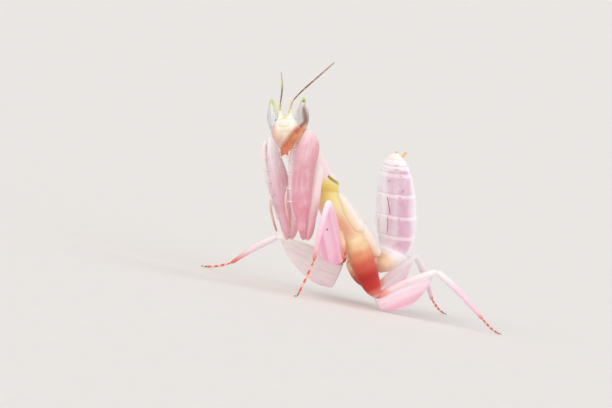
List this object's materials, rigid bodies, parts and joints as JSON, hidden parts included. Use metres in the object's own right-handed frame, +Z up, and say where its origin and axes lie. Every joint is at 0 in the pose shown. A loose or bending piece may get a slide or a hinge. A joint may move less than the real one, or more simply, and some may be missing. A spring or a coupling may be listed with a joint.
{
  "type": "orchid mantis",
  "caption": "Late nymph of an orchid mantis standing with its raptorial forelegs folded up beside its head, wing pads on its sloping back and its abdomen curled upright over its rear end.",
  "frame": {"origin": "middle of the bounding box at the floor that the four feet stand on", "axes": "+Z up; the trunk runs along Y and the animal faces -Y with its left side towards +X"},
  "size_m": [0.0258, 0.0506, 0.0375],
  "materials": {
    "skin_cream": "satin cuticle, cream above and tan towards the mouth",
    "skin_rose": "satin cuticle, white at the knee running to rose",
    "skin_pink": "satin cuticle, pink petal lobes with darker veins",
    "skin_white": "satin cuticle, white with a faint pink cast",
    "skin_yellow": "satin cuticle, yellow to orange along the flank",
    "skin_orange": "satin cuticle, orange to red low down",
    "skin_mauve": "satin cuticle, white and lilac with a red-brown line",
    "eye": "smooth pale eye, green at its point, with mauve streaks",
    "antenna": "fine dull brown-grey"
  },
  "bodies": {
    "root": {"eye_left": "eye", "eye_right": "eye", "head": "skin_cream", "mouthparts": "skin_orange", "antenna_left": "antenna", "antenna_right": "antenna", "pronotum": "skin_rose", "neck": "skin_cream", "forewing_pad_left": "skin_white", "hindwing_pad_left": "skin_white", "forewing_pad_right": "skin_white", "hindwing_pad_right": "skin_white", "mesothorax": "skin_yellow", "metathorax": "skin_orange", "abdomen_1": "skin_mauve", "abdomen_2": "skin_mauve", "abdomen_3": "skin_mauve", "abdomen_4": "skin_mauve", "abdomen_5": "skin_mauve", "abdomen_6": "skin_mauve", "cercus_left": "skin_orange", "cercus_right": "skin_orange", "foreleg_left_tibia": "skin_white", "foreleg_left_femur": "skin_rose", "foreleg_left_coxa": "skin_pink", "foreleg_left_tarsus": "skin_cream", "foreleg_right_tibia": "skin_white", "foreleg_right_femur": "skin_rose", "foreleg_right_coxa": "skin_pink", "foreleg_right_tarsus": "skin_cream", "midleg_left_coxa": "skin_orange", "midleg_left_femur": "skin_pink", "midleg_left_tibia": "skin_white", "midleg_left_tarsus": "skin_orange", "midleg_right_coxa": "skin_orange", "midleg_right_femur": "skin_pink", "midleg_right_tibia": "skin_white", "midleg_right_tarsus": "skin_orange", "hindleg_left_coxa": "skin_orange", "hindleg_left_femur": "skin_pink", "hindleg_left_tibia": "skin_white", "hindleg_left_tarsus": "skin_orange", "hindleg_right_coxa": "skin_orange", "hindleg_right_femur": "skin_pink", "hindleg_right_tibia": "skin_white", "hindleg_right_tarsus": "skin_orange"}
  },
  "joints": []
}
